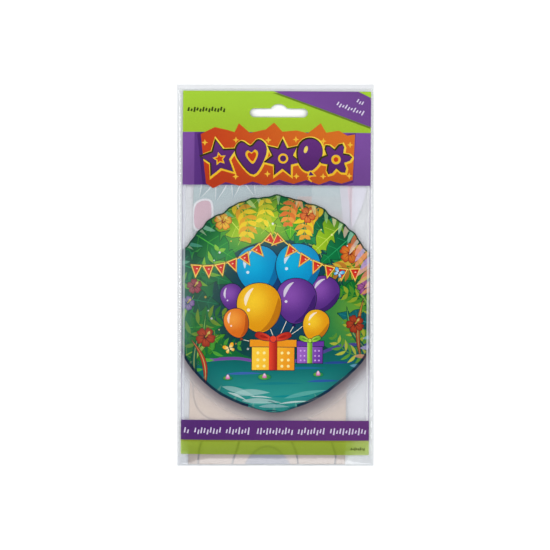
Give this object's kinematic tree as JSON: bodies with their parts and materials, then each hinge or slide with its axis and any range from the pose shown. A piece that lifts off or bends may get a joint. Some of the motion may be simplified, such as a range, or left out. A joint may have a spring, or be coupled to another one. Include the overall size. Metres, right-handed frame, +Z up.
{
  "type": "packaged foil balloon",
  "caption": "Foil party balloon folded flat behind a printed insert in a clear film pouch with a hang slot, lying on its back.",
  "frame": {"origin": "on the surface that the packet lies on, under the middle of the pouch", "axes": "+Z up, out of the packet's printed front; +Y towards the hang slot; +X to the right as the front is read"},
  "size_m": [0.14, 0.271, 0.0035],
  "materials": {
    "clear_film": "glossy clear film with a few soft wrinkles",
    "printed_sheet": "translucent milky sheet with gloss print",
    "silver_foil": "metallised film, printed, with fold creases"
  },
  "bodies": {
    "root": {"film_pouch": "clear_film", "printed_insert": "printed_sheet", "folded_balloon": "silver_foil"}
  },
  "joints": []
}
